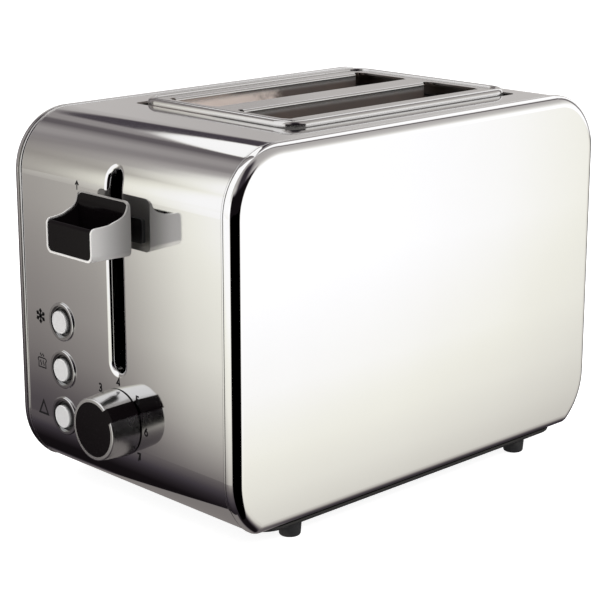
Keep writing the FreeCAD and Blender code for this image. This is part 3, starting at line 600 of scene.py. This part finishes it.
def ground_glow(look):
    """How bright the mirrored ground is at each place on it."""
    x, y, _ = look.axes()
    # in front of the long panel: brighter with distance, fading towards the right
    out = look.math("SUBTRACT", FRONT_Y, y)
    rise = look.curve(out, ((-0.002, 0.03), (0.004, 0.09), (0.012, 0.36), (0.02, 0.52), (0.036, 0.64),
                            (0.063, 0.73), (0.11, 0.83), (0.19, 0.92), (0.4, 1.0)))
    side = bearing(look, look.math("ADD", x, 0.66), look.math("SUBTRACT", y, 0.5))
    fade = look.curve(side, ((-46.0, 1.0), (-42.0, 0.97), (-39.0, 0.92), (-36.0, 0.82), (-30.0, 0.7),
                              (-23.0, 0.5), (-19.0, 0.06)))
    front = look.math("MULTIPLY", rise, fade)
    # off the control end: near black close in, then brighter with distance and towards the panel side
    away = look.math("SUBTRACT", FACE_X, x)
    reach = look.curve(away, ((-0.022, 0.1), (-0.017, 0.004), (0.0, 0.005), (0.009, 0.014), (0.015, 0.021),
                              (0.03, 0.046), (0.04, 0.067), (0.05, 0.09), (0.06, 0.125), (0.072, 0.175),
                              (0.084, 0.285), (0.097, 0.385), (0.117, 0.51), (0.147, 0.63), (0.212, 0.81),
                              (0.31, 0.89), (0.43, 0.97), (0.6, 1.0)))
    turn = bearing(look, look.math("SUBTRACT", x, 0.39), look.math("ADD", y, 0.67))
    spread = look.curve(turn, ((125.0, 0.38), (127.0, 0.46), (128.0, 0.56), (129.0, 0.71), (130.0, 0.85),
                               (131.0, 0.91), (132.5, 0.95)))
    shape = look.curve(away, ((0.04, 0.0), (0.055, 0.2), (0.072, 0.7), (0.085, 1.0), (0.1, 1.05),
                              (0.15, 0.9), (0.25, 0.86), (0.43, 0.74), (1.0, 0.62)))
    power = look.math("MULTIPLY", 1.6, shape)
    end = look.math("MULTIPLY", look.math("POWER", spread, power), reach)
    # a grey card edge under the panel side of the control end
    slant = look.math("ADD", away, look.math("MULTIPLY", look.math("ADD", y, 0.05), 0.23))
    card = look.math("MULTIPLY", look.step(slant, 0.002, 0.001), look.step(y, -0.082, -0.076))
    end = look.blend(card, end, 0.17)
    which = look.step(look.math("SUBTRACT", x, y), -0.02, 0.02)
    level = look.blend(which, end, front)
    around = bearing(look, look.math("SUBTRACT", x, FACE_X), look.math("SUBTRACT", y, FRONT_Y))
    return look.math("MULTIPLY", level, look.math("SUBTRACT", 1.0, unlit(look, around)))


def sky_glow(sky):
    """How bright the studio is in each direction; turn is the compass angle, lift the height."""
    x, y, z = sky.axes()
    turn = bearing(sky, x, y)
    lift = sky.math("DEGREES", sky.math("ARCSINE", z))
    # behind: the far wall that the flat top mirrors, then a black edge, then softboxes
    slant = sky.math("SUBTRACT", lift, sky.math("MULTIPLY", sky.math("SUBTRACT", turn, 53.0), 0.85))
    wall = sky.curve(slant, ((5.0, 0.44), (15.0, 0.38), (17.5, 0.36), (19.0, 0.05), (20.0, 0.04)))
    bands = sky.curve(turn, ((55.0, 0.04), (66.0, 0.05), (69.5, 0.24), (76.0, 0.24), (80.0, 0.1),
                             (86.0, 0.09), (92.0, 0.19), (98.0, 0.27), (103.0, 0.27), (109.0, 0.21),
                             (113.0, 0.22)))
    behind = sky.math("MAXIMUM", bands, sky.math("MULTIPLY", wall, sky.step(turn, 76.0, 66.0)))
    lower_edge = sky.math("MULTIPLY", sky.math("SUBTRACT", turn, 57.0), 0.57)
    box = sky.step(sky.math("SUBTRACT", lift, lower_edge), 28.0, 29.2)
    sides = sky.math("MULTIPLY", sky.step(turn, 82.0, 79.0), sky.step(turn, 53.0, 56.0))
    behind = sky.blend(sky.math("MULTIPLY", box, sides), behind, 0.92)
    # beyond the control end
    climb = sky.math("ADD", turn, sky.math("MULTIPLY", sky.math("MAXIMUM", lift, 15.0), 0.5))
    end = sky.curve(climb, ((127.0, 0.2), (129.5, 0.22), (132.0, 0.28), (133.5, 0.33), (134.5, 0.36),
                            (135.3, 0.45), (136.0, 0.58), (136.7, 0.71), (137.5, 0.81), (138.5, 0.9),
                            (139.5, 0.94)))
    left = sky.blend(sky.step(turn, 112.0, 114.0), behind, end)
    # beyond the long panel
    height = sky.curve(lift, ((6.0, 1.0), (14.0, 0.85), (20.0, 0.66), (29.0, 0.48), (41.0, 0.38),
                              (70.0, 0.34)))
    across = sky.curve(turn, ((-10.0, 0.38), (-6.0, 0.1), (2.0, 0.1), (8.0, 0.95), (33.0, 0.95),
                              (38.0, 0.2), (43.0, 0.2), (46.0, 0.44)))
    front = sky.blend(sky.step(turn, -14.0, -10.0), height, across)
    low_wall = sky.blend(sky.step(lift, 20.0, 24.0), 0.44, front)
    low_wall = sky.blend(sky.step(turn, 28.0, 22.0), low_wall, front)
    level = sky.blend(sky.step(turn, 45.5, 47.0), low_wall, left)
    below = sky.blend(sky.step(lift, -14.0, 0.0), 0.85, 1.0)
    level = sky.math("MULTIPLY", level, below)
    narrow = sky.math("MULTIPLY", sky.step(turn, -160.0, -132.0), sky.step(turn, -78.0, -106.0))
    dark = sky.blend(sky.step(lift, 20.0, 32.0), unlit(sky, turn), sky.math("MULTIPLY", narrow, 0.95))
    dark = sky.math("MULTIPLY", dark, sky.step(lift, 80.0, 60.0))
    level = sky.math("MULTIPLY", level, sky.math("SUBTRACT", 1.0, dark))
    return sky.math("ADD", level, 0.004)


def build_studio():
    """Floor, mirrored ground, studio surroundings, soft lights and the camera."""
    scene = bpy.context.scene
    far = 9.0
    floor = sheet_mesh("floor", [(-far, -far, 0), (far, -far, 0), (far, far, 0), (-far, far, 0)],
                       floor_material())
    floor.visible_glossy = False
    ground_look = Look("ground_glow")
    ground_look.tree.nodes.remove(ground_look.shader)
    glow = warm(ground_look, ground_glow(ground_look))
    emit = ground_look.add("ShaderNodeEmission", Color=glow, Strength=WHITE)
    surface = ground_look.tree.nodes["Material Output"].inputs["Surface"]
    ground_look.feed(surface, emit.outputs["Emission"])
    wide, under = 1.6, -0.001
    ground = sheet_mesh("floor_mirrored", [(-wide, -wide, under), (wide, -wide, under),
                                           (wide, wide, under), (-wide, wide, under)], ground_look.material)
    only_in_reflections(ground)

    world = bpy.data.worlds.new("studio")
    scene.world = world
    sky = Nodes(world, "Generated")
    background = sky.tree.nodes["Background"]
    glow = sky_glow(sky)
    height = sky.math("DEGREES", sky.math("ARCSINE", sky.axes()[2]))
    x, y, _ = sky.axes()
    cool = sky.math("MAXIMUM", sky.step(height, 12.0, 38.0), sky.step(bearing(sky, x, y), 116.0, 110.0))
    tinted = sky.mix(cool, warm(sky, glow, 0.88), warm(sky, glow, 0.95))
    sky.feed(background.inputs["Color"], tinted)
    background.inputs["Strength"].default_value = WHITE

    for name, place, size, power in (
        ("key", (-0.6, -1.3, 1.5), 1.2, 26.0),
        ("fill", (1.3, -0.9, 1.1), 1.0, 12.0),
        ("top", (0.1, 0.2, 1.7), 1.4, 20.0),
    ):
        light = bpy.data.lights.new(name, "AREA")
        light.size = size
        light.energy = power
        lamp = bpy.data.objects.new(name, light)
        lamp.location = place
        lamp.rotation_euler = (Vector((0, 0, 0.1)) - Vector(place)).to_track_quat("-Z", "Y").to_euler()
        lamp.visible_glossy = False
        scene.collection.objects.link(lamp)

    camera_data = bpy.data.cameras.new("camera")
    camera_data.lens = 107.07
    camera_data.sensor_width = 36.0
    camera_data.shift_y = -0.05
    camera_data.clip_end = 60.0
    camera = bpy.data.objects.new("camera", camera_data)
    camera.location = (-0.6485, -0.6704, 0.3453)
    aim = Vector((0.0071, 0.0058, 0.1063)) - camera.location
    camera.rotation_euler = aim.to_track_quat("-Z", "Y").to_euler()
    scene.collection.objects.link(camera)
    scene.camera = camera
    scene.view_settings.view_transform = "Standard"


build_studio()
